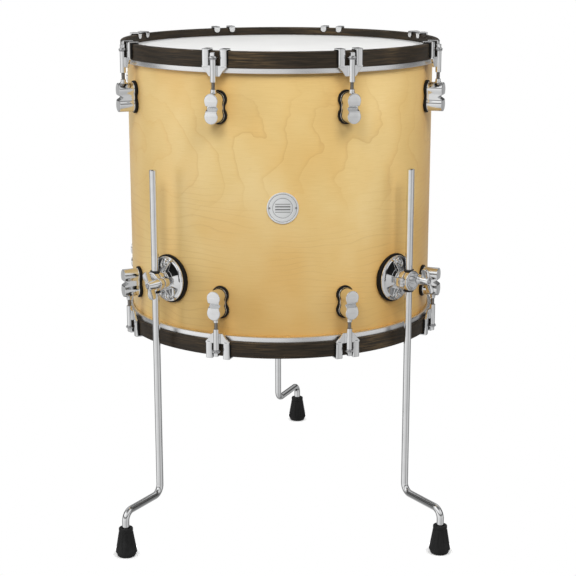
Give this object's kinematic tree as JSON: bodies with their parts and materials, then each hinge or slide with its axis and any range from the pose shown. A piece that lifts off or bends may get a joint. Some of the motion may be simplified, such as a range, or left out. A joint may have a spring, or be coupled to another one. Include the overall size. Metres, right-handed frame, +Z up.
{
  "type": "floor tom drum",
  "caption": "Wooden floor tom with stained wood hoops held by chrome claw hooks and tension rods, standing on clamped legs with rubber feet.",
  "frame": {"origin": "on the floor, under the middle of the whole drum's box; the drum's own axis is 40 mm from it, towards -Y", "axes": "+Z up, the badge faces -Y, +X to the right of someone facing the badge"},
  "size_m": [0.4846, 0.6234, 0.7227],
  "materials": {
    "maple": "satin gloss lacquer over maple",
    "walnut_stain": "satin dark stained maple",
    "coated_film": "rough white coating",
    "clear_film": "smooth film",
    "aluminium_hoop": "bright satin",
    "chrome": "polished",
    "steel": "zinc plated",
    "brass": "plain",
    "black_rubber": "matte",
    "foot_rubber": "matte, fluted",
    "black_nylon": "matte",
    "badge_metal": "fine brushed",
    "badge_pin": "dull"
  },
  "bodies": {
    "drum": {"shell": "maple", "badge": "badge_metal", "badge_pins": "badge_pin", "vent_grommet": "chrome", "batter_hoop": "walnut_stain", "resonant_hoop": "walnut_stain", "batter_head": "coated_film", "resonant_head": "clear_film", "batter_flesh_hoop": "aluminium_hoop", "resonant_flesh_hoop": "aluminium_hoop", "bracket_gaskets": "black_rubber", "bracket_bases": "chrome", "bracket_screws": "chrome", "bracket_nuts": "steel", "clamp_caps": "chrome", "clamp_hinge_pins": "steel", "clamp_studs": "steel", "batter_lugs": "chrome", "batter_lug_gaskets": "black_rubber", "batter_lug_screws": "steel", "batter_lug_nuts": "brass", "batter_claws": "chrome", "batter_claw_pads": "black_rubber", "batter_rod_washers": "steel", "resonant_lugs": "chrome", "resonant_lug_gaskets": "black_rubber", "resonant_lug_screws": "steel", "resonant_lug_nuts": "brass", "resonant_claws": "chrome", "resonant_claw_pads": "black_rubber", "resonant_rod_washers": "steel"},
    "batter_rod_1": {"batter_rod_1": "chrome"},
    "batter_rod_2": {"batter_rod_2": "chrome"},
    "batter_rod_3": {"batter_rod_3": "chrome"},
    "batter_rod_4": {"batter_rod_4": "chrome"},
    "batter_rod_5": {"batter_rod_5": "chrome"},
    "batter_rod_6": {"batter_rod_6": "chrome"},
    "batter_rod_7": {"batter_rod_7": "chrome"},
    "batter_rod_8": {"batter_rod_8": "chrome"},
    "resonant_rod_1": {"resonant_rod_1": "chrome"},
    "resonant_rod_2": {"resonant_rod_2": "chrome"},
    "resonant_rod_3": {"resonant_rod_3": "chrome"},
    "resonant_rod_4": {"resonant_rod_4": "chrome"},
    "resonant_rod_5": {"resonant_rod_5": "chrome"},
    "resonant_rod_6": {"resonant_rod_6": "chrome"},
    "resonant_rod_7": {"resonant_rod_7": "chrome"},
    "resonant_rod_8": {"resonant_rod_8": "chrome"},
    "bush_left": {"leg_bush_left": "black_nylon"},
    "leg_left": {"leg_left": "chrome", "foot_left": "foot_rubber"},
    "wing_nut_left": {"wing_nut_left": "chrome"},
    "bush_right": {"leg_bush_right": "black_nylon"},
    "leg_right": {"leg_right": "chrome", "foot_right": "foot_rubber"},
    "wing_nut_right": {"wing_nut_right": "chrome"},
    "bush_rear": {"leg_bush_rear": "black_nylon"},
    "leg_rear": {"leg_rear": "chrome", "foot_rear": "foot_rubber"},
    "wing_nut_rear": {"wing_nut_rear": "chrome"}
  },
  "joints": [
    {"name": "batter_rod_1_turn", "type": "hinge", "parent": "drum", "child": "batter_rod_1", "pos_m": [0.09433, -0.26775, 0.6874], "axis": [0, 0, 1], "continuous": true},
    {"name": "batter_rod_2_turn", "type": "hinge", "parent": "drum", "child": "batter_rod_2", "pos_m": [0.22774, -0.13434, 0.6874], "axis": [0, 0, 1], "continuous": true},
    {"name": "batter_rod_3_turn", "type": "hinge", "parent": "drum", "child": "batter_rod_3", "pos_m": [0.22774, 0.05432, 0.6874], "axis": [0, 0, 1], "continuous": true},
    {"name": "batter_rod_4_turn", "type": "hinge", "parent": "drum", "child": "batter_rod_4", "pos_m": [0.09433, 0.18773, 0.6874], "axis": [0, 0, 1], "continuous": true},
    {"name": "batter_rod_5_turn", "type": "hinge", "parent": "drum", "child": "batter_rod_5", "pos_m": [-0.09433, 0.18773, 0.6874], "axis": [0, 0, 1], "continuous": true},
    {"name": "batter_rod_6_turn", "type": "hinge", "parent": "drum", "child": "batter_rod_6", "pos_m": [-0.22774, 0.05432, 0.6874], "axis": [0, 0, 1], "continuous": true},
    {"name": "batter_rod_7_turn", "type": "hinge", "parent": "drum", "child": "batter_rod_7", "pos_m": [-0.22774, -0.13434, 0.6874], "axis": [0, 0, 1], "continuous": true},
    {"name": "batter_rod_8_turn", "type": "hinge", "parent": "drum", "child": "batter_rod_8", "pos_m": [-0.09433, -0.26775, 0.6874], "axis": [0, 0, 1], "continuous": true},
    {"name": "resonant_rod_1_turn", "type": "hinge", "parent": "drum", "child": "resonant_rod_1", "pos_m": [0.09433, -0.26775, 0.321], "axis": [0, 0, 1], "continuous": true},
    {"name": "resonant_rod_2_turn", "type": "hinge", "parent": "drum", "child": "resonant_rod_2", "pos_m": [0.22774, -0.13434, 0.321], "axis": [0, 0, 1], "continuous": true},
    {"name": "resonant_rod_3_turn", "type": "hinge", "parent": "drum", "child": "resonant_rod_3", "pos_m": [0.22774, 0.05432, 0.321], "axis": [0, 0, 1], "continuous": true},
    {"name": "resonant_rod_4_turn", "type": "hinge", "parent": "drum", "child": "resonant_rod_4", "pos_m": [0.09433, 0.18773, 0.321], "axis": [0, 0, 1], "continuous": true},
    {"name": "resonant_rod_5_turn", "type": "hinge", "parent": "drum", "child": "resonant_rod_5", "pos_m": [-0.09433, 0.18773, 0.321], "axis": [0, 0, 1], "continuous": true},
    {"name": "resonant_rod_6_turn", "type": "hinge", "parent": "drum", "child": "resonant_rod_6", "pos_m": [-0.22774, 0.05432, 0.321], "axis": [0, 0, 1], "continuous": true},
    {"name": "resonant_rod_7_turn", "type": "hinge", "parent": "drum", "child": "resonant_rod_7", "pos_m": [-0.22774, -0.13434, 0.321], "axis": [0, 0, 1], "continuous": true},
    {"name": "resonant_rod_8_turn", "type": "hinge", "parent": "drum", "child": "resonant_rod_8", "pos_m": [-0.09433, -0.26775, 0.321], "axis": [0, 0, 1], "continuous": true},
    {"name": "leg_left_turn", "type": "hinge", "parent": "drum", "child": "bush_left", "pos_m": [-0.18173, -0.22174, 0.389], "axis": [0, 0, 1], "continuous": true},
    {"name": "leg_left_slide", "type": "slide", "parent": "bush_left", "child": "leg_left", "axis": [0, 0, 1], "range_m": [-0.14, 0.2]},
    {"name": "wing_nut_left_turn", "type": "hinge", "parent": "drum", "child": "wing_nut_left", "pos_m": [-0.18498, -0.24479, 0.389], "axis": [-0.7071, -0.7071, 0], "continuous": true},
    {"name": "leg_right_turn", "type": "hinge", "parent": "drum", "child": "bush_right", "pos_m": [0.18173, -0.22174, 0.389], "axis": [0, 0, 1], "continuous": true},
    {"name": "leg_right_slide", "type": "slide", "parent": "bush_right", "child": "leg_right", "axis": [0, 0, 1], "range_m": [-0.14, 0.2]},
    {"name": "wing_nut_right_turn", "type": "hinge", "parent": "drum", "child": "wing_nut_right", "pos_m": [0.20478, -0.22499, 0.389], "axis": [0.7071, -0.7071, 0], "continuous": true},
    {"name": "leg_rear_turn", "type": "hinge", "parent": "drum", "child": "bush_rear", "pos_m": [0, 0.21699, 0.389], "axis": [0, 0, 1], "continuous": true},
    {"name": "leg_rear_slide", "type": "slide", "parent": "bush_rear", "child": "leg_rear", "axis": [0, 0, 1], "range_m": [-0.14, 0.2]},
    {"name": "wing_nut_rear_turn", "type": "hinge", "parent": "drum", "child": "wing_nut_rear", "pos_m": [-0.014, 0.23559, 0.389], "axis": [0, 1, 0], "continuous": true}
  ]
}
